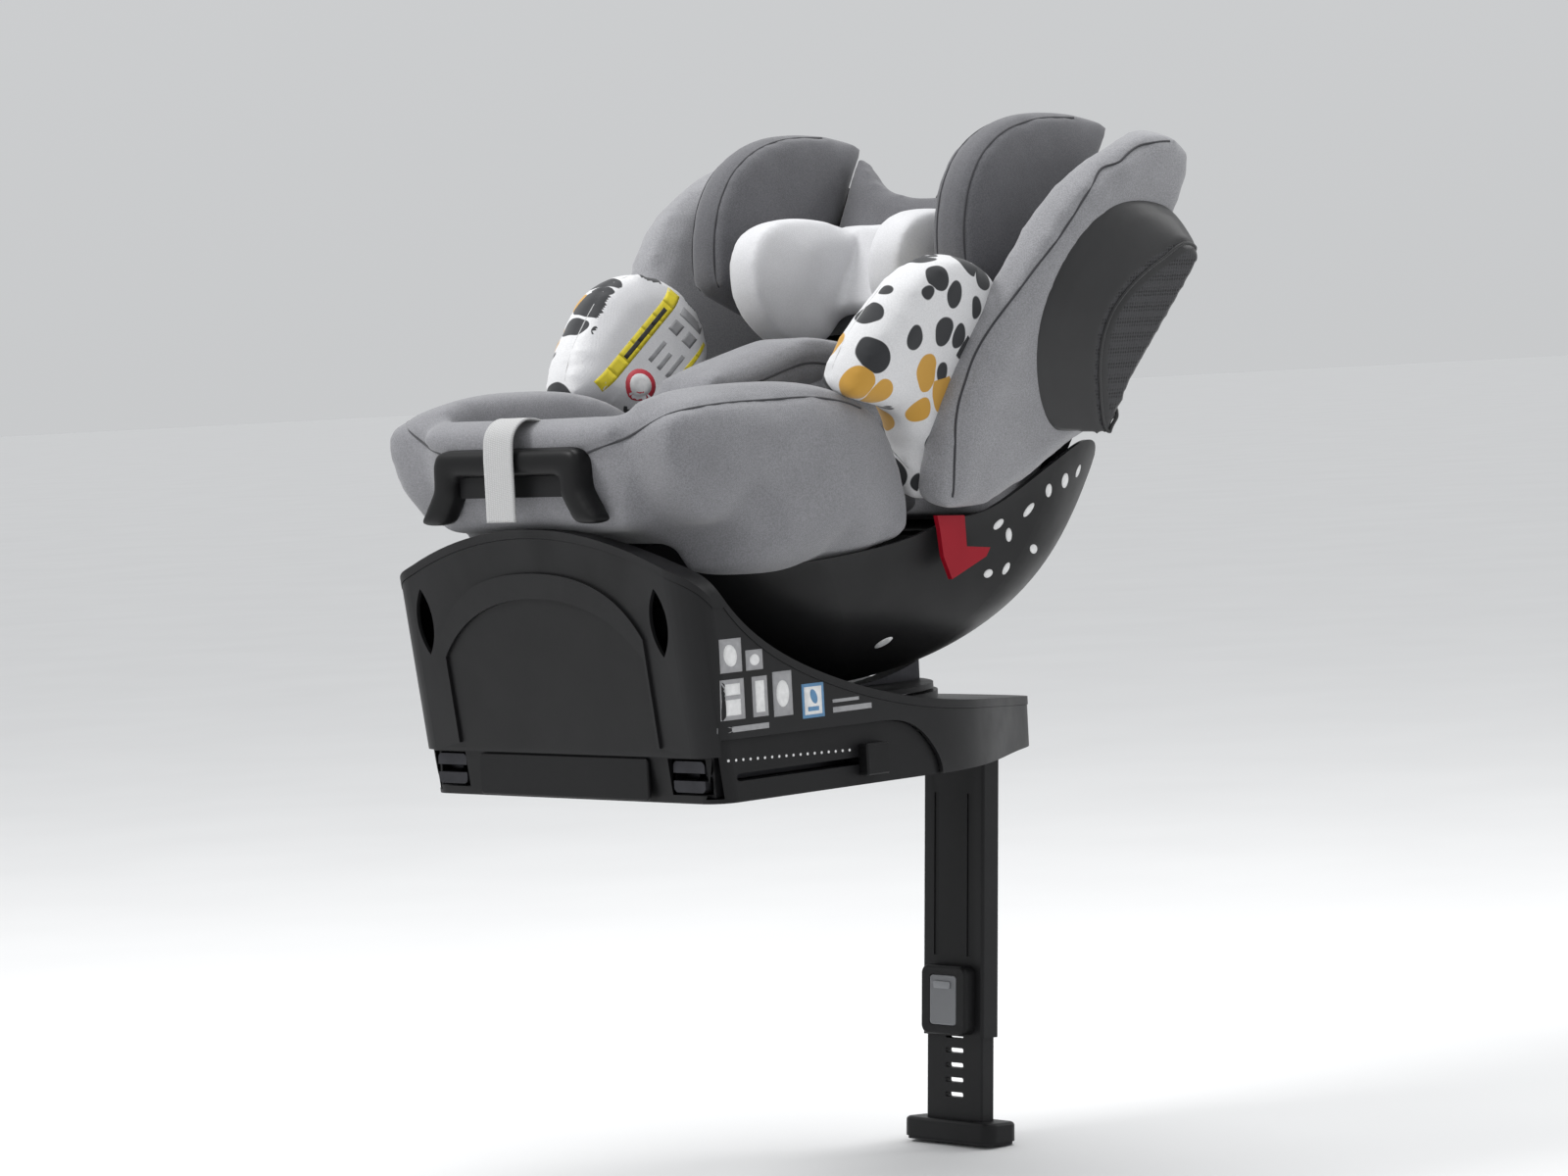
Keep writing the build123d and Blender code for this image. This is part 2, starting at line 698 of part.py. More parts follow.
with BuildPart() as backrest_shell:
    add(back_slab(between_wings(back_low), back_low, between_wings(back_high) - 14, back_high - 18,
                  0, 11, dip=back_dip))
    fillet(backrest_shell.edges().filter_by(Axis(back_plane.origin, back_plane.z_dir))
           .group_by(Axis.Z)[-1], radius=30)
    add(outside_shell, mode=Mode.SUBTRACT)
save(backrest_shell.part, "backrest_shell")

# ---------------------------------------------------------------- seat cushion and bolsters
cushion_top = [(-352, 330), (-338, 344), (-318, 336), (-280, 300), (-150, 282), (10, 288)]
cushion_rest = [(60, 262), (60, 240), (-285, 240), (-285, 254), (-331, 254), (-331, 322.5)]
with BuildPart() as seat_cushion:
    add(smooth_slab(cushion_top, cushion_rest, -126, 126))
save(seat_cushion.part, "seat_cushion")

bolster_top = [(-334, 330), (-322, 350), (-296, 357), (-204, 361), (-110, 352), (-62, 327),
               (-34, 285), (-26, 243)]
bolster_rest = [(-26, 223), (-86, 213), (-188, 207.5), (-290, 207.5), (-290, 254), (-320, 290)]
with BuildPart() as side_bolster:
    add(smooth_slab(bolster_top, bolster_rest, 127.5, 195))
    add(spin_keepout.part, mode=Mode.SUBTRACT)
both_sides(side_bolster.part, "side_bolster")

# ---------------------------------------------------------------- backrest and wings
with BuildPart() as backrest_pad:
    add(back_slab(between_wings(back_low), back_low, between_wings(back_high), back_high,
                  11.5, 28, dip=back_dip))
    for side in (-1, 1):
        with BuildSketch(back_plane.offset(39.5)):
            with Locations((side * 163, 0)):
                Rectangle(26, 56)
        extrude(amount=95)
    add(outside_shell, mode=Mode.SUBTRACT)
save(backrest_pad.part, "backrest_pad")

wing_front = [(-14, 248), (-16, 325), (9, 395), (48, 466), (108, 543), (173, 579), (215, 592),
              (246, 590)]
wing_back = [(268, 578), (274, 557), (268, 530), (232, 365), (205, 324), (186, 310),
             (158, 298), (101, 266), (51, 247), (20, 247)]
both_sides(splayed_slab(wing_front, wing_back, wing_inner_x, wing_thickness), "wing_pad")

# ---------------------------------------------------------------- side impact pods
pod_front = [(99, 315), (70, 355), (67, 410), (84, 454), (121, 503), (173, 525)]
pod_back = [(225, 519), (262, 490), (264, 465), (203, 376), (180, 325), (133, 307)]
pod_gap = 0.8
pod_thickness = 31.0
pod_inner_x = wing_inner_x + (wing_thickness + pod_gap) / cos(radians(splay))
with BuildPart() as impact_pod:
    add(splayed_slab(pod_front, pod_back, pod_inner_x, pod_thickness))
    chamfer(impact_pod.faces().sort_by(Axis.X)[-1].edges(), length=12)
both_sides(impact_pod.part, "impact_pod")

# ---------------------------------------------------------------- headrest
headrest_half = 190.0
headrest_low = 98.0
with BuildPart() as headrest_shell:
    add(back_slab(headrest_half, headrest_low, headrest_half, 292, 42, 11, dip=headrest_dip))
    fillet(headrest_shell.edges().filter_by(Axis(back_plane.origin, back_plane.z_dir))
           .group_by(Axis.Z)[-1], radius=35)
save(headrest_shell.part, "headrest_shell")
headrest_wing_front = [back_point(98, 196), back_point(136, 213), back_point(178, 221),
                       back_point(224, 212), back_point(267, 178), back_point(297, 128),
                       back_point(316, 66)]
headrest_wing_back = [back_point(316, 53.5), back_point(98, 53.5)]
headrest_wing = smooth_slab(headrest_wing_front, headrest_wing_back, 137, headrest_half)
both_sides(headrest_wing, "headrest_wing")
save(back_slab(136, headrest_low, 136, 300, 53.5, 28, dip=headrest_dip), "headrest_pad")

lobe_front = [back_point(104, 84), back_point(62, 120), back_point(64, 178),
              back_point(98, 215), back_point(142, 218), back_point(180, 178),
              back_point(204, 84)]
with BuildPart() as head_insert:
    add(back_slab(112, 104, 112, 214, 82, 16))
    for x_from, x_to in ((-114, -70), (70, 114)):
        add(smooth_slab(lobe_front, [back_point(204, 82), back_point(104, 82)], x_from, x_to))
save(head_insert.part, "head_insert")

save(back_slab(45, 250, 40, 268, 14, 24), "headrest_handle")

# ---------------------------------------------------------------- newborn insert and harness
torso_front = [(-116, 370), (-107, 392), (-72, 436), (-23, 473), (24, 476), (56, 462)]
torso_back = [(76, 440), (80, 404), (54, 330), (38, 266), (-8, 262), (-14, 302), (-40, 342)]
both_sides(splayed_slab(torso_front, torso_back, 133, 40), "torso_pad")

as_pair(side_slab([back_point(-50, 40.2), back_point(90, 40.2), back_point(90, 42.2),
                   back_point(-50, 42.2)], 22, 60), "harness_straps")
as_pair(side_slab([back_point(-40, 42.6), back_point(86, 42.6), back_point(86, 55),
                   back_point(-40, 55)], 12, 66), "harness_pads")

crotch_points = [(62, 402), (9, 409), (-122, 377), (-137, 356), (-120, 346), (-47, 355),
                 (56, 372)]
save(side_slab(crotch_points, -38, 38), "crotch_pad")
save(side_slab([(-96, 302), (-62, 302), (-68, 345), (-92, 345)], -27, 27), "buckle")
save(side_slab([(-99.5, 307), (-99.5, 334), (-104, 333), (-104, 308)], -14, 14),
     "buckle_button")
save(side_slab([(-80, 291), (-76, 291), (-76, 301.5), (-80, 301.5)], -19, 19), "crotch_strap")

# ---------------------------------------------------------------- recline handle and adjuster
handle_back_y = -333.0
handle_depth = 24.0

with BuildPart() as recline_handle:
    with BuildSketch(Plane.XZ.offset(-handle_back_y)):
        with BuildLine():
            Polyline((-120, 254), (-97, 286), (-97, 321), (97, 321), (97, 286), (120, 254),
                     close=True)
        outer_frame = make_face()
        fillet(outer_frame.vertices().group_by(Axis.Y)[-1], radius=14)
        with BuildLine():
            Polyline((-92, 250), (-72, 280), (-72, 298), (72, 298), (72, 280), (92, 250),
                     close=True)
        make_face(mode=Mode.SUBTRACT)
    extrude(amount=handle_depth)
save(recline_handle.part, "recline_handle")

with BuildPart() as recline_lever:
    with BuildSketch(Plane.XZ.offset(-handle_back_y + 3)):
        with Locations((0, 287)):
            RectangleRounded(140, 19, 3)
    extrude(amount=11)
save(recline_lever.part, "recline_lever")

adjuster_points = [(-312, 342), (-338, 346), (-352, 342), (-360, 330), (-360, 256),
                   (-362, 256), (-362, 331), (-353, 344), (-338, 348), (-312, 344)]
save(side_slab(adjuster_points, -19, 19), "adjuster_strap")
adjuster_button_points = [(-300, 335), (-280, 315), (-275, 320), (-295, 340)]
save(side_slab(adjuster_button_points, -15, 15), "adjuster_button")
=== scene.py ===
import json
from math import cos, pi, radians, sin, tan

import bmesh
import bpy
import numpy as np
from mathutils import Matrix, Vector
from mathutils.bvhtree import BVHTree
from mathutils.geometry import delaunay_2d_cdt, interpolate_bezier


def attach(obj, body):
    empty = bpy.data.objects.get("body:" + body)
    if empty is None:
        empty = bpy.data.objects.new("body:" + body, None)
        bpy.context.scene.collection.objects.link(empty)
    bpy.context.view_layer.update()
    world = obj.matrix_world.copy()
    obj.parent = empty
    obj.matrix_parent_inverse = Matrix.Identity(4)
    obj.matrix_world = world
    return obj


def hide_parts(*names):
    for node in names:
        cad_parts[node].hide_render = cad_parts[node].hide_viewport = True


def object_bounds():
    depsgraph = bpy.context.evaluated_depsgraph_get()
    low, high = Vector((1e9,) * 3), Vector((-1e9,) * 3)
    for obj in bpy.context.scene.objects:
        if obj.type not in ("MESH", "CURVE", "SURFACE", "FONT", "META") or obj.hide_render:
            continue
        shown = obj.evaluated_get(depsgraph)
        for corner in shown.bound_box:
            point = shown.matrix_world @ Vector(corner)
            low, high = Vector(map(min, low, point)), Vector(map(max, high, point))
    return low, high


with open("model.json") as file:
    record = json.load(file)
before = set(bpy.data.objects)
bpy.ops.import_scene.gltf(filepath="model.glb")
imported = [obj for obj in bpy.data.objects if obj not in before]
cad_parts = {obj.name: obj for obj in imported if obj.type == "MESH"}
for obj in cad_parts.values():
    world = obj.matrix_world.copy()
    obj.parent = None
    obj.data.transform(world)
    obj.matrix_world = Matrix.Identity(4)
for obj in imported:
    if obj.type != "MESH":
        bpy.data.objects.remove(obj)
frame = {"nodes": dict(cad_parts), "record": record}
cad_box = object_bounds()
scene = bpy.context.scene

# The seat's outlines are drawn on a base 400 wide, as in the part's source; one drawn
# millimetre is this many metres.
DRAW = 0.88 / 1000
LEAN = radians(25)               # backrest, from upright
SPLAY = radians(14.6)            # how far the wings lean outwards
VOXEL = 0.005


def at(x, y, z):
    """A drawn point in metres."""
    return Vector((x, y, z)) * DRAW


def on_back(x, rise, depth):
    """A point rise up the backrest's rear face and depth in front of it."""
    return at(x, 200 + rise * sin(LEAN) - depth * cos(LEAN),
              288 + rise * cos(LEAN) + depth * sin(LEAN))


# ------------------------------------------------------------------ materials
class Paint:
    """A procedural material, built node by node."""

    def __init__(self, name):
        self.material = bpy.data.materials.new(name)
        self.material.use_nodes = True
        self.nodes = self.material.node_tree.nodes
        self.shader = self.nodes["Principled BSDF"]
        self.place = self.add("ShaderNodeTexCoord").outputs["Object"]

    def add(self, kind, **settings):
        made = self.nodes.new(kind)
        for key, value in settings.items():
            setattr(made, key, value)
        return made

    def join(self, output, socket):
        self.material.node_tree.links.new(output, socket)

    def feed(self, node, **inputs):
        """Sets or links a node's inputs, named with underscores for spaces."""
        for key, value in inputs.items():
            socket = node.inputs[key.replace("_", " ")]
            if isinstance(value, bpy.types.NodeSocket):
                self.join(value, socket)
            else:
                socket.default_value = value
        return node

    def noise(self, scale, detail=2.0, place=None):
        made = self.add("ShaderNodeTexNoise")
        self.feed(made, Vector=place or self.place, Scale=scale, Detail=detail)
        return made.outputs["Fac"]

    def stretched(self, scale, turn=(0, 0, 0)):
        made = self.add("ShaderNodeMapping")
        self.feed(made, Vector=self.place, Scale=scale, Rotation=turn)
        return made.outputs["Vector"]

    def wave(self, pitch, direction="X", place=None):
        made = self.add("ShaderNodeTexWave", bands_direction=direction)
        per_metre = (0.628 if direction == "DIAGONAL" else 0.314) / pitch
        self.feed(made, Vector=place or self.place, Scale=per_metre)
        return made.outputs["Fac"]

    def math(self, operation, first, second=0.5):
        made = self.add("ShaderNodeMath", operation=operation)
        for socket, value in zip(made.inputs, (first, second)):
            if isinstance(value, bpy.types.NodeSocket):
                self.join(value, socket)
            else:
                socket.default_value = value
        return made.outputs["Value"]

    def ramp(self, factor, *stops):
        """A colour ramp; each stop is (position, colour)."""
        made = self.add("ShaderNodeValToRGB")
        self.join(factor, made.inputs["Fac"])
        points = made.color_ramp.elements
        while len(points) < len(stops):
            points.new(0.5)
        for point, (position, colour) in zip(points, stops):
            point.position = position
            point.color = (*colour, 1)
        return made.outputs["Color"]

    def mix(self, factor, first, second, how="MIX"):
        made = self.add("ShaderNodeMixRGB", blend_type=how)
        for socket, value in zip(made.inputs, (factor, first, second)):
            if isinstance(value, bpy.types.NodeSocket):
                self.join(value, socket)
            else:
                socket.default_value = value if isinstance(value, float) else (*value, 1)
        return made.outputs["Color"]

    def bumps(self, *layers):
        """Stacks (height, strength, distance) bumps onto the shader's normal."""
        normal = None
        for height, strength, distance in layers:
            bump = self.feed(self.add("ShaderNodeBump"), Height=height, Strength=strength,
                             Distance=distance)
            if normal is not None:
                self.join(normal, bump.inputs["Normal"])
            normal = bump.outputs["Normal"]
        self.join(normal, self.shader.inputs["Normal"])

    def finish(self, **inputs):
        self.feed(self.shader, **inputs)
        return self.material


def shade(colour, by):
    return tuple(channel * by for channel in colour)


def knit(name, colour, fleck=0.16, sheen=0.25):
    """Melange jersey: fine light and dark flecks over a small diagonal stitch."""
    paint = Paint(name)
    flecks = paint.ramp(paint.noise(900, 3), (0.36, shade(colour, 1 - fleck)),
                        (0.64, shade(colour, 1 + fleck)))
    broad = paint.ramp(paint.noise(24), (0.3, (0.94, 0.94, 0.94)), (0.7, (1.04, 1.04, 1.04)))
    cloth = paint.mix(1.0, flecks, broad, "MULTIPLY")
    stitch = paint.math("MULTIPLY", paint.wave(0.0018, "DIAGONAL"),
                        paint.wave(0.0018, "DIAGONAL", paint.stretched((1, -1, 1))))
    paint.bumps((paint.noise(60), 0.12, 0.002), (stitch, 0.22, 0.0006),
                (paint.noise(1300), 0.25, 0.0004))
    return paint.finish(Base_Color=cloth, Roughness=0.88, Sheen_Weight=sheen,
                        Sheen_Roughness=0.5, Specular_IOR_Level=0.25)


def plastic(name, colour, roughness=0.42, grain=0.10):
    """Moulded plastic with a fine spark-eroded grain, and a painted highlight that brightens convex
    edges.
    """
    paint = Paint(name)
    edges = paint.add("ShaderNodeNewGeometry").outputs["Pointiness"]
    # painted highlight: convex edges, found by pointiness, are painted 1.7 times brighter
    edge_highlight = paint.ramp(edges, (0.50, colour), (0.62, shade(colour, 1.7)))
    patches = paint.ramp(paint.noise(14, 4), (0.3, shade((1, 1, 1), 0.92)),
                         (0.7, shade((1, 1, 1), 1.06)))
    shine = paint.ramp(paint.noise(30, 3), (0.3, shade((1, 1, 1), roughness - 0.04)),
                       (0.7, shade((1, 1, 1), roughness + 0.05)))
    paint.bumps((paint.noise(1500, 1), grain, 0.0003), (paint.noise(420, 2), grain * 0.6, 0.0004))
    return paint.finish(Base_Color=paint.mix(1.0, edge_highlight, patches, "MULTIPLY"), Roughness=shine,
                        Specular_IOR_Level=0.2)


def metal(name, colour, roughness):
    """Plated or painted steel with faint rolling marks."""
    paint = Paint(name)
    marks = paint.noise(60, 3, paint.stretched((1, 12, 1)))
    tint = paint.ramp(marks, (0.3, shade(colour, 0.85)), (0.7, shade(colour, 1.1)))
    paint.bumps((marks, 0.08, 0.0003))
    return paint.finish(Base_Color=tint, Metallic=1.0, Roughness=roughness)


def webbing(name, colour):
    """Herringbone strap webbing, ribbed along and across."""
    paint = Paint(name)
    ribs = paint.wave(0.0026, "X")
    picks = paint.wave(0.0014, "Z", paint.stretched((1, 1, 1), (0, radians(8), 0)))
    weave = paint.math("MULTIPLY", ribs, picks)
    tint = paint.ramp(weave, (0.1, shade(colour, 0.86)), (0.8, shade(colour, 1.08)))
    paint.bumps((weave, 0.5, 0.0006), (paint.noise(1500), 0.2, 0.0003))
    return paint.finish(Base_Color=tint, Roughness=0.75, Sheen_Weight=0.2)


def spotted(name):
    """White jersey printed with charcoal ovals and a few mustard ones."""
    paint = Paint(name)
    wobble = paint.add("ShaderNodeTexNoise")
    paint.feed(wobble, Vector=paint.place, Scale=26.0, Detail=1.0)
    shift = paint.add("ShaderNodeVectorMath", operation="SCALE")
    paint.join(wobble.outputs["Color"], shift.inputs[0])
    shift.inputs["Scale"].default_value = 0.012
    moved = paint.add("ShaderNodeVectorMath", operation="ADD")
    paint.join(paint.stretched((0.62, 1.1, 0.85), (radians(35), 0, 0)), moved.inputs[0])
    paint.join(shift.outputs["Vector"], moved.inputs[1])
    cells = paint.add("ShaderNodeTexVoronoi", feature="F1")
    paint.feed(cells, Vector=moved.outputs["Vector"], Scale=37.0, Randomness=0.5)
    split = paint.add("ShaderNodeSeparateColor")
    paint.join(cells.outputs["Color"], split.inputs["Color"])
    size = paint.math("MULTIPLY_ADD", split.outputs["Green"], 0.20)
    size.node.inputs[2].default_value = 0.37
    inside = paint.math("SUBTRACT", size, cells.outputs["Distance"])
    spot = paint.ramp(inside, (0.0, (0, 0, 0)), (0.02, (1, 1, 1)))
    ink = paint.ramp(split.outputs["Red"], (0.86, (0.018, 0.019, 0.022)), (0.87, (0.52, 0.28, 0.04)))
    ground = paint.ramp(paint.noise(900, 3), (0.3, (0.60, 0.60, 0.61)), (0.7, (0.70, 0.70, 0.71)))
    paint.bumps((paint.noise(50), 0.1, 0.002), (paint.noise(1300), 0.3, 0.0004))
    return paint.finish(Base_Color=paint.mix(spot, ground, ink), Roughness=0.85,
                        Sheen_Weight=0.2)


def satin(name, colour):
    """Coated black cloth with a soft shine and a very fine grain."""
    paint = Paint(name)
    tint = paint.ramp(paint.noise(16, 3), (0.3, shade(colour, 0.8)), (0.7, shade(colour, 1.3)))
    paint.bumps((paint.noise(40), 0.15, 0.002), (paint.noise(1600, 1), 0.25, 0.0003))
    return paint.finish(Base_Color=tint, Roughness=0.42, Sheen_Weight=0.1)


def air_mesh(name, colour):
    """Open spacer mesh: rows of small holes, with painted shade in each hole."""
    paint = Paint(name)
    cells = paint.add("ShaderNodeTexVoronoi", feature="F1")
    paint.feed(cells, Vector=paint.place, Scale=330.0, Randomness=0.12)
    holes = cells.outputs["Distance"]
    # painted shade: each hole's centre is painted dark for the shade inside it, and the ridges
    # between them lighter
    tint = paint.ramp(holes, (0.22, shade(colour, 0.25)), (0.5, shade(colour, 1.6)))
    paint.bumps((holes, 0.8, 0.001))
    return paint.finish(Base_Color=tint, Roughness=0.7)


def print_ink(name, colour):
    """Printed or woven marking, slightly mottled."""
    paint = Paint(name)
    tint = paint.ramp(paint.noise(200, 2), (0.3, shade(colour, 0.9)), (0.7, shade(colour, 1.05)))
    paint.bumps((paint.noise(900), 0.1, 0.0002))
    return paint.finish(Base_Color=tint, Roughness=0.6)


charcoal = plastic("charcoal_plastic", (0.0085, 0.0085, 0.009), 0.42)
black = plastic("black_plastic", (0.005, 0.005, 0.0054), 0.44)
button_grey = plastic("grey_button", (0.22, 0.225, 0.235), 0.4)
red = plastic("red_plastic", (0.17, 0.003, 0.009), 0.38)
rubber = plastic("rubber", (0.016, 0.016, 0.017), 0.7, 0.3)
painted = metal("painted_steel", (0.05, 0.05, 0.055), 0.45)
bright = metal("bright_steel", (0.6, 0.6, 0.62), 0.28)
grey_knit = knit("grey_knit", (0.215, 0.215, 0.228))
pale_knit = knit("pale_grey_knit", (0.265, 0.265, 0.278))
slate_knit = knit("slate_knit", (0.115, 0.115, 0.124))
white_jersey = knit("white_jersey", (0.62, 0.62, 0.635), 0.05)
cow = spotted("spotted_jersey")
pod_satin = satin("black_satin", (0.013, 0.013, 0.014))
pod_mesh = air_mesh("black_air_mesh", (0.022, 0.022, 0.024))
dark_mesh = air_mesh("dark_air_mesh", (0.03, 0.03, 0.034))
pale_web = webbing("pale_webbing", (0.46, 0.46, 0.46))
dark_web = webbing("dark_webbing", (0.06, 0.06, 0.065))
dark_cord = knit("dark_piping", (0.045, 0.045, 0.05), 0.1)
thread = knit("pale_piping", (0.50, 0.50, 0.50), 0.08)
white_ink = print_ink("white_print", (0.72, 0.72, 0.72))
grey_ink = print_ink("grey_print", (0.30, 0.30, 0.31))
blue_ink = print_ink("blue_print", (0.10, 0.24, 0.42))
red_ink = print_ink("red_print", (0.50, 0.03, 0.05))
dark_ink = print_ink("dark_print", (0.03, 0.03, 0.03))
yellow_ink = print_ink("yellow_print", (0.75, 0.62, 0.03))

SLOT_PAINT = {
    "charcoal_plastic": charcoal, "black_plastic": black, "painted_steel": painted,
    "bright_steel": bright, "grey_button": button_grey, "red_plastic": red, "rubber": rubber,
    "grey_knit": grey_knit, "slate_knit": slate_knit, "white_jersey": white_jersey,
    "spotted_jersey": cow, "black_satin": pod_satin, "pale_webbing": pale_web,
    "dark_webbing": dark_web,
}


# ------------------------------------------------------------------ mesh helpers
def put(obj):
    scene.collection.objects.link(obj)
    return obj


def apply_modifiers(obj):
    graph = bpy.context.evaluated_depsgraph_get()
    mesh = bpy.data.meshes.new_from_object(obj.evaluated_get(graph))
    obj.modifiers.clear()
    obj.data = mesh


def coordinates(mesh):
    places = np.empty(len(mesh.vertices) * 3, np.float32)
    mesh.vertices.foreach_get("co", places)
    return places.reshape(-1, 3).astype(float)


def move_to(mesh, places):
    mesh.vertices.foreach_set("co", places.astype(np.float32).ravel())
    mesh.update()


def normals_of(mesh):
    found = np.empty(len(mesh.vertices) * 3, np.float32)
    mesh.vertices.foreach_get("normal", found)
    return found.reshape(-1, 3).astype(float)


def smooth_shading(obj):
    obj.data.polygons.foreach_set("use_smooth", [True] * len(obj.data.polygons))


def cad_copy(name, node):
    mesh = frame["nodes"][node].data.copy()
    mesh.materials.clear()
    mesh.name = name
    return put(bpy.data.objects.new(name, mesh))


def remeshed(obj, voxel=VOXEL):
    """An even skin of small faces over the piece's volume."""
    step = obj.modifiers.new("skin", "REMESH")
    step.mode = "VOXEL"
    step.voxel_size = voxel
    apply_modifiers(obj)


def relaxed(obj, rounds):
    """Rounds the piece's edges as stretched cloth does."""
    step = obj.modifiers.new("relax", "SMOOTH")
    step.factor = 0.5
    step.iterations = rounds
    apply_modifiers(obj)


def swollen(obj, distance):
    """Moves the skin out along its normals."""
    move_to(obj.data, coordinates(obj.data) + distance * normals_of(obj.data))


def inflate(obj, most, pressure=4.0):
    """Blows the piece up as a cloth bag; no point moves by more than most."""
    rest = coordinates(obj.data)
    air = obj.modifiers.new("air", "CLOTH")
    air.settings.use_pressure = True
    air.settings.uniform_pressure_force = pressure
    air.settings.effector_weights.gravity = 0
    air.settings.quality = 4
    for step in range(1, 21):
        scene.frame_set(step)
    graph = bpy.context.evaluated_depsgraph_get()
    blown = coordinates(obj.evaluated_get(graph).data)
    obj.modifiers.clear()
    scene.frame_set(1)
    travel = blown - rest
    length = np.linalg.norm(travel, axis=1, keepdims=True)
    move_to(obj.data, rest + travel * np.minimum(1, most / np.maximum(length, 1e-9)))
    relaxed(obj, 13)


def subdivided(obj):
    step = obj.modifiers.new("fine", "SUBSURF")
    step.levels = 1
    step.render_levels = 1
    apply_modifiers(obj)


def smooth_path(points, steps=10):
    """A Catmull-Rom curve through the points."""
    points = [Vector(p) for p in points]
    path = []
    for i in range(len(points) - 1):
        before = points[max(i - 1, 0)]
        start, end = points[i], points[i + 1]
        after = points[min(i + 2, len(points) - 1)]
        knot_a = start + (end - before) / 6
        knot_b = end - (after - start) / 6
        path += interpolate_bezier(start, knot_a, knot_b, end, steps + 1)[:-1]
    return path + [points[-1]]


def skin_tree(obj):
    return BVHTree.FromPolygons([v.co for v in obj.data.vertices],
                                [p.vertices for p in obj.data.polygons])


def traced(obj, points, toward):
    """The smooth curve through the points, dropped onto the piece along a direction."""
    tree = skin_tree(obj)
    toward = Vector(toward).normalized()
    path = []
    for point in smooth_path(points):
        hit = tree.ray_cast(point - toward * 0.6, toward)[0]
        path.append(hit if hit is not None else tree.find_nearest(point)[0])
    for _ in range(6):
        path = [path[0]] + [(a + 2 * b + c) / 4
                            for a, b, c in zip(path, path[1:], path[2:])] + [path[-1]]
    return path


def pinch(obj, path, width=0.009, depth=0.002):
    """Draws the skin in along a sewn seam."""
    places = coordinates(obj.data)
    line = np.array(path)
    nearest = np.full(len(places), 9.0)
    for point in line:
        nearest = np.minimum(nearest, np.linalg.norm(places - point, axis=1))
    pull = depth * np.exp(-(nearest / (0.5 * width)) ** 2)
    move_to(obj.data, places - pull[:, None] * normals_of(obj.data))


def tube(name, path, radius, material, body, closed=False):
    """A round cord of constant thickness along a path."""
    curve = bpy.data.curves.new(name, "CURVE")
    curve.dimensions = "3D"
    curve.bevel_depth = radius
    curve.bevel_resolution = 2
    curve.use_fill_caps = True
    line = curve.splines.new("POLY")
    line.points.add(len(path) - 1)
    for point, place in zip(line.points, path):
        point.co = (*place, 1)
    line.use_cyclic_u = closed
    curve.materials.append(material)
    obj = put(bpy.data.objects.new(name, curve))
    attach(obj, body)
    return obj


def seam(obj, name, points, toward, body, material=None, radius=0.0011):
    """Piping sewn into a piece: the skin is pinched in and a thin cord lies in the groove."""
    path = traced(obj, points, toward)
    pinch(obj, path)
    path = traced(obj, points, toward)
    tube(name, path, radius, material or dark_cord, body)


def dress(obj, body, material, replaced=()):
    """Gives a finished piece its material and body, and hides the CAD parts it replaces."""
    if material is not None:
        obj.data.materials.append(material)
    smooth_shading(obj)
    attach(obj, body)
    if replaced:
        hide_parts(*replaced)
    return obj


def soft_from(name, node, rounds, shrink, most, voxel=VOXEL):
    """A cushion in the space of a plain CAD solid: skinned, rounded and blown up."""
    obj = cad_copy(name, node)
    remeshed(obj, voxel)
    relaxed(obj, rounds)
    swollen(obj, -shrink)
    inflate(obj, most)
    return obj


def mirrored(obj, name):
    """The same piece on the other side of the seat."""
    twin = put(bpy.data.objects.new(name, obj.data.copy()))
    twin.data.transform(Matrix.Diagonal((-1, 1, 1, 1)))
    twin.data.flip_normals()
    return twin


def flipped(points):
    return [Vector((-p[0], p[1], p[2])) for p in points]


def each_side(make):
    """Calls make(side name, sign) for the seat's two sides."""
    for side, sign in (("left", 1), ("right", -1)):
        make(side, sign)


def on_side(points, sign):
    return [Vector((sign * p[0], p[1], p[2])) for p in points]


# ------------------------------------------------------------------ camera, floor and light
def camera():
    data = bpy.data.cameras.new("camera")
    data.lens = 112.5
    data.sensor_width = 36.0
    data.shift_y = 0.003
    data.clip_end = 60
    view = put(bpy.data.objects.new("camera", data))
    right = Vector((0.7071, 0.7052, -0.0518))
    up = Vector((0.0, 0.0732, 0.9973))
    back = right.cross(up).normalized()
    turn = Matrix((right, up, back)).transposed().to_4x4()
    view.matrix_world = Matrix.Translation((2.898, -2.897, 0.359)) @ turn
    scene.camera = view


def floor():
    low = min(corner[2] for corner in cad_box) - 0.0005
    mesh = bpy.data.meshes.new("floor")
    reach = 60.0
    mesh.from_pydata([(-reach, -reach, low), (reach, -reach, low), (reach, reach, low),
                      (-reach, reach, low)], [], [(0, 1, 2, 3)])
    obj = put(bpy.data.objects.new("floor", mesh))
    paint = Paint("floor")
    tint = paint.ramp(paint.noise(3), (0.3, (0.80, 0.80, 0.80)), (0.7, (0.82, 0.82, 0.82)))
    mesh.materials.append(paint.finish(Base_Color=tint, Roughness=0.95,
                                       Specular_IOR_Level=0.1))


def area_light(name, place, aim, size, power):
    data = bpy.data.lights.new(name, "AREA")
    data.shape = "DISK"
    data.size = size
    data.energy = power
    lamp = put(bpy.data.objects.new(name, data))
    direction = Vector(aim) - Vector(place)
    lamp.location = place
    lamp.rotation_euler = direction.to_track_quat("-Z", "Y").to_euler()


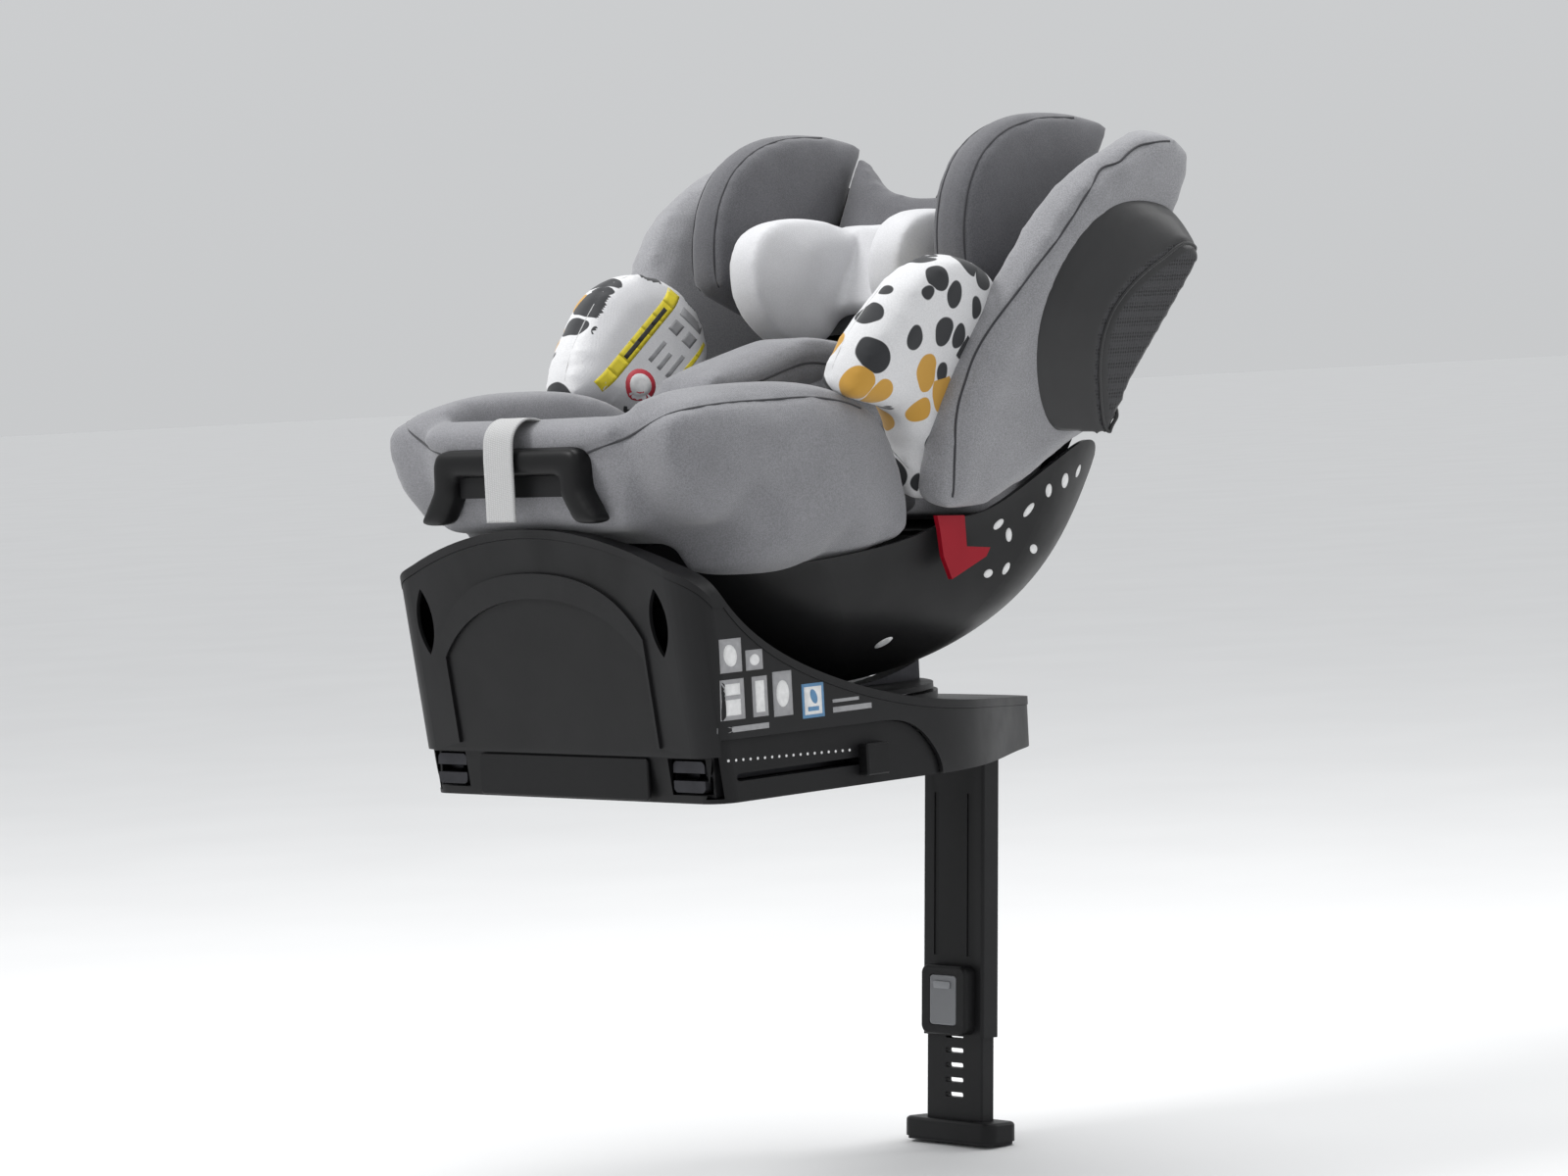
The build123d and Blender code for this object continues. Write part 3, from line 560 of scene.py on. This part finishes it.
def studio():
    """A sky that is bright overhead and pale grey at the horizon, and three soft lamps."""
    world = bpy.data.worlds.new("studio")
    scene.world = world
    world.use_nodes = True
    nodes = world.node_tree.nodes
    links = world.node_tree.links
    height = nodes.new("ShaderNodeSeparateXYZ")
    links.new(nodes.new("ShaderNodeTexCoord").outputs["Generated"], height.inputs[0])
    fade = nodes.new("ShaderNodeMapRange")
    fade.inputs["From Min"].default_value = 0.0
    fade.inputs["From Max"].default_value = 0.7
    fade.inputs["To Min"].default_value = 0.60
    fade.inputs["To Max"].default_value = 0.80
    links.new(height.outputs["Z"], fade.inputs["Value"])
    links.new(fade.outputs["Result"], nodes["Background"].inputs["Strength"])
    nodes["Background"].inputs["Color"].default_value = (0.97, 0.985, 1.0, 1)
    middle = (0, 0, 0.25)
    area_light("key", (-1.4, -2.4, 2.8), middle, 1.2, 78)
    area_light("top", (0.0, 0.6, 3.0), middle, 1.6, 38)
    area_light("rim", (1.6, 2.8, 1.6), middle, 1.0, 16)
    scene.view_settings.view_transform = "Standard"


camera()
floor()
studio()


# ------------------------------------------------------------------ rigid pieces
def paint_rigid():
    """Each CAD piece that stays gets its slot's material and lightly rounded edges."""
    slots = {row["node"]: row["material_slot"] for row in frame["record"]["subparts"]}
    for node, obj in frame["nodes"].items():
        obj.data.materials.clear()
        obj.data.materials.append(SLOT_PAINT[slots[node]])
        edge = obj.modifiers.new("edge", "BEVEL")
        edge.width = 0.0009
        edge.segments = 2
        edge.limit_method = "ANGLE"
        edge.angle_limit = radians(38)
        edge.harden_normals = False


paint_rigid()


# ------------------------------------------------------------------ printed marks
def block(y0, z0, y1, z1):
    """The outline of a rectangle, closely enough spaced to follow a curved face."""
    corners = [(y0, z0), (y1, z0), (y1, z1), (y0, z1)]
    outline = []
    for i in range(4):
        start, end = corners[i], corners[(i + 1) % 4]
        outline += [(start[0] + (end[0] - start[0]) * k / 6, start[1] + (end[1] - start[1]) * k / 6)
                    for k in range(6)]
    return outline


def oval(y, z, wide, high, lean=0.0):
    outline = []
    for i in range(20):
        a, b = wide * cos(i * pi / 10), high * sin(i * pi / 10)
        outline.append((y + a * cos(lean) - b * sin(lean), z + a * sin(lean) + b * cos(lean)))
    return outline


def printed(name, node, outlines, material, lift=0.12, on=None, sides=(1, -1)):
    """Thin layers of print on a node's flanks, or on a cover's inner face, at (y, z) outlines."""
    tree = skin_tree(on or frame["nodes"][node])
    work = bmesh.new()
    for sign in sides:
        inward = Vector((sign if on else -sign, 0, 0))
        for outline in outlines:
            middle = (sum(p[0] for p in outline) / len(outline),
                      sum(p[1] for p in outline) / len(outline))
            rings = []
            for share in (0.0, 0.5, 1.0):
                ring = []
                for y, z in outline if share else [middle]:
                    place = at((60 if on else 420) * sign, middle[0] + (y - middle[0]) * share,
                               middle[1] + (z - middle[1]) * share)
                    hit = tree.ray_cast(place, inward)[0]
                    if hit is not None:
                        ring.append(hit - inward * lift * 0.001)
                rings.append(ring)
            if len(rings[0]) != 1 or len(rings[1]) != len(outline) \
                    or len(rings[2]) != len(outline):
                continue
            sheets = []
            for sink in (0.0, 0.0004):
                sheets.append([[work.verts.new(p + inward * sink) for p in ring]
                               for ring in rings])
            count = len(outline)
            for turn, (core, inner, outer) in zip((1, -1), sheets):
                for i in range(count):
                    j = (i + 1) % count
                    work.faces.new((core[0], inner[i], inner[j])[::turn])
                    work.faces.new((inner[i], outer[i], outer[j], inner[j])[::turn])
            for i in range(count):
                j = (i + 1) % count
                work.faces.new((sheets[0][2][i], sheets[1][2][i], sheets[1][2][j],
                                sheets[0][2][j]))
    if not work.faces:
        work.free()
        return
    bmesh.ops.recalc_face_normals(work, faces=work.faces)
    obj = put(bpy.data.objects.new(name, bpy.data.meshes.new(name)))
    work.to_mesh(obj.data)
    work.free()
    groups = frame["record"]["behaviour"]["bodies"]
    smooth_shading(obj)
    body = [name for name, nodes in groups.items() if node in nodes][0]
    dress(obj, body, material)


# ------------------------------------------------------------------ seat cushion and bolsters
def seat_cover():
    """One sewn cover over the cushion and both bolsters, with piping along its upper edges."""
    obj = put(bpy.data.objects.new("seat_cover", bpy.data.meshes.new("seat_cover")))
    joined = bmesh.new()
    joined.from_mesh(frame["nodes"]["seat_cushion"].data)
    for corner in joined.verts:
        corner.co.x *= 1.03
    joined.from_mesh(frame["nodes"]["side_bolster_left"].data)
    joined.from_mesh(frame["nodes"]["side_bolster_right"].data)
    joined.to_mesh(obj.data)
    joined.free()
    remeshed(obj)
    relaxed(obj, 18)
    swollen(obj, 0.003)
    inflate(obj, 0.006)
    for side, sign in (("left", 1), ("right", -1)):
        edge = on_side([at(104, -352, 326), at(140, -340, 332), at(168, -318, 342),
                        at(182, -280, 350), at(186, -204, 354), at(184, -130, 348),
                        at(178, -82, 334)], sign)
        seam(obj, "seat_piping_" + side, edge, (-sign, 0.45, -0.55), "seat")
    subdivided(obj)
    dress(obj, "seat", grey_knit,
          ["seat_cushion", "side_bolster_left", "side_bolster_right"])


# ------------------------------------------------------------------ backrest
def backrest_pad():
    obj = soft_from("backrest_cover", "backrest_pad", 6, 0.002, 0.004)
    subdivided(obj)
    dress(obj, "seat", grey_knit, ["backrest_pad"])


def wings():
    left = soft_from("backrest_wing_cover_left", "wing_pad_left", 14, 0.0005, 0.006)
    right = mirrored(left, "backrest_wing_cover_right")
    for obj, side, sign in ((left, "left", 1), (right, "right", -1)):
        front = on_side([splayed(y, z, 42) for y, z in
                         ((-2, 254), (-6, 285), (-4, 325), (8, 362), (28, 402), (56, 444),
                          (92, 488), (130, 531), (166, 563), (200, 577), (232, 579))], sign)
        seam(obj, "wing_piping_" + side, front, (-sign, 0, 0.26), "seat")
        subdivided(obj)
        dress(obj, "seat", pale_knit, ["wing_pad_" + side])


POD_FOOT = [(165, 301), (145, 343), (137, 388), (149, 422), (178, 448), (209, 465),
            (234, 477), (254, 472), (256, 458), (233, 421), (202, 375), (181, 341)]
POD_ROOT = [(116, 310), (84, 343), (69, 400), (83, 454), (118, 500), (166, 523),
            (222, 518), (252, 500), (262, 474), (232, 420), (198, 366), (160, 318)]


def closed_path(points, steps=6):
    """A smooth closed curve through (y, z) points."""
    points = [Vector((y, z, 0)) for y, z in points]
    count = len(points)
    path = []
    for i in range(count):
        before, start, end, after = (points[(i + k) % count] for k in (-1, 0, 1, 2))
        path += interpolate_bezier(start, start + (end - before) / 6, end - (after - start) / 6,
                                   end, steps + 1)[:-1]
    return path


def splayed(y, z, out):
    """A drawn point out from the wings' inner plane, which leans outwards."""
    x = 175 + out / cos(SPLAY) + (z - 240) * tan(SPLAY)
    return at(x, y, z)


def pods():
    """Wedge-shaped side pods: satin flanks rise to a piped, mesh-covered outer face."""
    root, face = closed_path(POD_ROOT), closed_path(POD_FOOT)
    levels = ((43.4, 0.0), (50, 0.10), (58, 0.34), (66, 0.66), (72, 0.90), (74.6, 1.0),
              (75.4, 1.04))
    places, rings = [], []
    for out, share in levels:
        ring = []
        for a, b in zip(root, face):
            point = a.lerp(b, share)
            ring.append(len(places))
            places.append(splayed(point.x, point.y, out))
        rings.append(ring)
    count = len(root)
    faces = [tuple(rings[0]), tuple(reversed(rings[-1]))]
    for low, high in zip(rings, rings[1:]):
        for i in range(count):
            j = (i + 1) % count
            faces.append((low[j], low[i], high[i], high[j]))
    for side, sign in (("left", 1), ("right", -1)):
        mesh = bpy.data.meshes.new("impact_pod_cover_" + side)
        mesh.from_pydata([(sign * p.x, p.y, p.z) for p in places], [],
                         faces if sign > 0 else [tuple(reversed(f)) for f in faces])
        obj = put(bpy.data.objects.new("impact_pod_cover_" + side, mesh))
        remeshed(obj, 0.003)
        relaxed(obj, 5)
        body = "pod_" + side
        rim = [splayed(p.x, p.y, 74.5) for p in face[::3]]
        rim = on_side(rim + rim[:1], sign)
        seam(obj, "pod_piping_" + side, rim, (-sign, 0, 0.26), body, pod_satin,
             0.0016)
        subdivided(obj)
        obj.data.materials.append(pod_satin)
        obj.data.materials.append(pod_mesh)
        outward = Vector((sign * cos(SPLAY), 0, -sin(SPLAY)))
        for part in obj.data.polygons:
            part.material_index = 1 if part.normal.dot(outward) > 0.985 else 0
        dress(obj, body, None, ["impact_pod_" + side])


# ------------------------------------------------------------------ headrest
def headrest():
    left = soft_from("headrest_wing_cover_left", "headrest_wing_left", 22, 0.0005, 0.007)
    right = mirrored(left, "headrest_wing_cover_right")
    for obj, side, sign in ((left, "left", 1), (right, "right", -1)):
        band = on_side([on_back(150, 98, 190), on_back(150, 136, 214), on_back(150, 178, 222),
                        on_back(150, 224, 213), on_back(150, 267, 180), on_back(150, 300, 128)],
                       sign)
        seam(obj, "headrest_piping_inner_" + side, band, (0, cos(LEAN), -sin(LEAN)),
             "headrest")
        outer = on_side([on_back(182, 98, 186), on_back(182, 136, 208), on_back(182, 178, 216),
                         on_back(182, 224, 207), on_back(182, 264, 176), on_back(182, 300, 120)],
                        sign)
        seam(obj, "headrest_piping_outer_" + side, outer, (0, cos(LEAN), -sin(LEAN)),
             "headrest")
        subdivided(obj)
        dress(obj, "headrest", slate_knit, ["headrest_wing_" + side])
    pad = soft_from("headrest_pad_cover", "headrest_pad", 8, 0.001, 0.005)
    subdivided(pad)
    dress(pad, "headrest", slate_knit, ["headrest_pad"])


def head_insert():
    obj = soft_from("head_insert_cover", "head_insert", 16, 0.0005, 0.007, 0.004)
    for side, sign in (("left", 1), ("right", -1)):
        root = on_side([on_back(68, 198, 90), on_back(66, 176, 108), on_back(66, 140, 122),
                        on_back(66, 104, 108), on_back(68, 92, 92)], sign)
        seam(obj, "head_insert_seam_" + side, root, (sign, 0, 0), "headrest",
             thread, 0.0006)
    subdivided(obj)
    dress(obj, "headrest", white_jersey, ["head_insert"])


# ------------------------------------------------------------------ newborn insert and harness
def label_area(u0, v0, u1, v1):
    """Blocks covering part of the sewn label, whose sides are the unit square's."""
    outlines = []
    pieces = max(1, round((u1 - u0) / 0.15))
    for k in range(pieces):
        a = u0 + (u1 - u0) * k / pieces
        b = u0 + (u1 - u0) * (k + 1) / pieces
        outlines.append([(-92 + 132 * u + 48 * v, 376 + 88 * u - 46 * v)
                         for u, v in block(a, v0, b, v1)])
    return outlines


def label_oval(u, v, wide, high):
    return [(-92 + 132 * a + 48 * b, 376 + 88 * a - 46 * b) for a, b in oval(u, v, wide, high)]


def sewn_label(pad, side, sign):
    """A plain care label with a coloured band, a ring and bars, and no lettering."""
    def layer(name, outlines, ink, lift):
        printed(name + "_" + side, "torso_pad_" + side, outlines, ink, lift, pad,
                (sign,))

    layer("label_band", label_area(0, 0, 1, 0.22) + label_area(0, 0.93, 1, 1), yellow_ink, 0.15)
    layer("label_band_bar", label_area(0.30, 0.08, 0.82, 0.15), dark_ink, 0.25)
    layer("label_ring", [label_oval(0.23, 0.56, 0.12, 0.25)], red_ink, 0.15)
    layer("label_ring_middle", [label_oval(0.23, 0.56, 0.085, 0.18)], white_ink, 0.25)
    layer("label_bars", label_area(0.42, 0.40, 0.62, 0.47) + label_area(0.42, 0.58, 0.58, 0.65)
          + label_area(0.42, 0.76, 0.64, 0.83) + label_area(0.72, 0.34, 0.82, 0.52)
          + label_area(0.72, 0.62, 0.82, 0.80) + label_area(0.87, 0.34, 0.95, 0.80), grey_ink, 0.15)


def torso_pads():
    left = soft_from("torso_pad_cover_left", "torso_pad_left", 9, -0.005, 0.006, 0.004)
    right = mirrored(left, "torso_pad_cover_right")
    for obj, side, sign in ((left, "left", 1), (right, "right", -1)):
        middle = on_side([at(176, -124, 366), at(182, -110, 396), at(190, -74, 440),
                          at(198, -23, 478), at(200, 24, 482), at(196, 60, 464)], sign)
        seam(obj, "torso_seam_" + side, middle, (0, 0.8, -0.6), "seat",
             thread, 0.0006)
        subdivided(obj)
        obj.data.materials.append(cow)
        obj.data.materials.append(white_jersey)
        for face in obj.data.polygons:
            face.material_index = 1 if face.normal.x * sign < -0.72 else 0
        dress(obj, "seat", None, ["torso_pad_" + side])
        sewn_label(obj, side, sign)


def crotch_pad():
    obj = soft_from("crotch_pad_cover", "crotch_pad", 8, 0.0005, 0.004, 0.0035)
    ring = [at(36, 50, 378), at(37, 0, 384), at(37, -60, 370), at(36, -118, 356)]
    seam(obj, "crotch_piping_left", ring, (-1, 0, 0), "seat")
    seam(obj, "crotch_piping_right", flipped(ring), (1, 0, 0), "seat")
    subdivided(obj)
    dress(obj, "seat", grey_knit, ["crotch_pad"])


def harness():
    pads = soft_from("harness_pads_cover", "harness_pads", 4, 0.0003, 0.002, 0.003)
    subdivided(pads)
    dress(pads, "seat", grey_knit, ["harness_pads"])
    straps = cad_copy("harness_webbing", "harness_straps")
    dress(straps, "seat", dark_web, ["harness_straps"])
    crotch = cad_copy("crotch_webbing", "crotch_strap")
    dress(crotch, "seat", dark_web, ["crotch_strap"])


def ribbon(name, centre, half_width, thickness, material, body, replaced):
    """Flat webbing along a path of (y, z) points, with slightly raised selvedges."""
    path = smooth_path([at(0, y, z) for y, z in centre], 8)
    across = 12
    faces, places = [], []
    for i, point in enumerate(path):
        ahead = path[min(i + 1, len(path) - 1)] - path[max(i - 1, 0)]
        out = Vector((0, -ahead.z, ahead.y)).normalized()
        for side in (1, -1):
            for j in range(across + 1):
                share = j / across * 2 - 1
                edge = 0.55 if abs(share) > 0.85 else 0.5
                place = point + Vector((share * half_width * DRAW, 0, 0))
                places.append(place + out * side * thickness * edge)
    row = 2 * (across + 1)
    ring = list(range(across + 1)) + list(range(row - 1, across, -1))
    for i in range(len(path) - 1):
        for a, b in zip(ring, ring[1:] + ring[:1]):
            faces.append((i * row + a, i * row + b, (i + 1) * row + b, (i + 1) * row + a))
    faces.append(tuple(reversed(ring)))
    faces.append(tuple((len(path) - 1) * row + a for a in ring))
    mesh = bpy.data.meshes.new(name)
    mesh.from_pydata([tuple(p) for p in places], [], faces)
    mesh.update()
    obj = put(bpy.data.objects.new(name, mesh))
    bm = bmesh.new()
    bm.from_mesh(mesh)
    bmesh.ops.recalc_face_normals(bm, faces=bm.faces)
    bm.to_mesh(mesh)
    bm.free()
    return dress(obj, body, material, replaced)


def adjuster_strap():
    ribbon("adjuster_webbing", [(-306, 340), (-322, 345), (-338, 348), (-350, 344),
                                (-358.5, 334), (-361, 318), (-361, 290), (-361, 256)],
           19, 0.0016, pale_web, "seat", ["adjuster_strap"])


def handle():
    obj = cad_copy("recline_handle_frame", "recline_handle")
    remeshed(obj, 0.0025)
    relaxed(obj, 26)
    swollen(obj, 0.0008)
    subdivided(obj)
    dress(obj, "seat", black, ["recline_handle"])


def marks():
    """Generic label shapes, tick marks and scattered prints, with no lettering."""
    printed("side_labels", "base_housing",
            [block(-291, 116, -264, 146), block(-259, 116, -238, 134), block(-292, 74, -263, 110), block(-253, 74, -234, 110),
             block(-227, 72, -203, 112)], grey_ink)
    printed("side_label_shapes", "base_housing",
            [oval(-278, 131, 8, 10, 0.3), oval(-248, 125, 6, 5), block(-286, 78, -268, 92),
             block(-286, 96, -268, 106), block(-249, 78, -238, 106), oval(-215, 92, 8, 12)],
            white_ink, 0.2)
    printed("side_square", "base_housing", [block(-191, 67, -163, 98)], blue_ink)
    printed("side_square_shape", "base_housing",
            [block(-188, 70, -166, 95)], white_ink, 0.2)
    printed("side_seat_shape", "base_housing",
            [oval(-176, 86, 4, 7, 0.4), block(-184, 73, -170, 77)], blue_ink,
            0.28)
    printed("side_bars", "base_housing",
            [block(-152, 69, -102, 74), block(-152, 78, -118, 81), block(-295, 63, -234, 68)],
            grey_ink)
    printed("tray_ticks", "base_tray",
            [oval(-282 + 9 * k, 38 - 0.3 * k, 1.3, 1.3) for k in range(18)],
            white_ink)
    printed("shell_prints", "seat_shell",
            [oval(91, 224, 7, 4, 0.5), oval(88, 178, 6, 4), oval(108, 213, 4, 7, 0.4),
             oval(112, 181, 4, 6, -0.5), oval(130, 235, 8, 4, 0.8), oval(152, 252, 4, 7, 0.5),
             oval(148, 197, 7, 4, -0.4), oval(174, 260, 5, 8, 0.6), oval(195, 268, 4, 6),
             oval(-16, 121, 9, 4.5, 0.3)], white_ink)


seat_cover()
backrest_pad()
wings()
pods()
headrest()
head_insert()
torso_pads()
crotch_pad()
harness()
adjuster_strap()
handle()
marks()
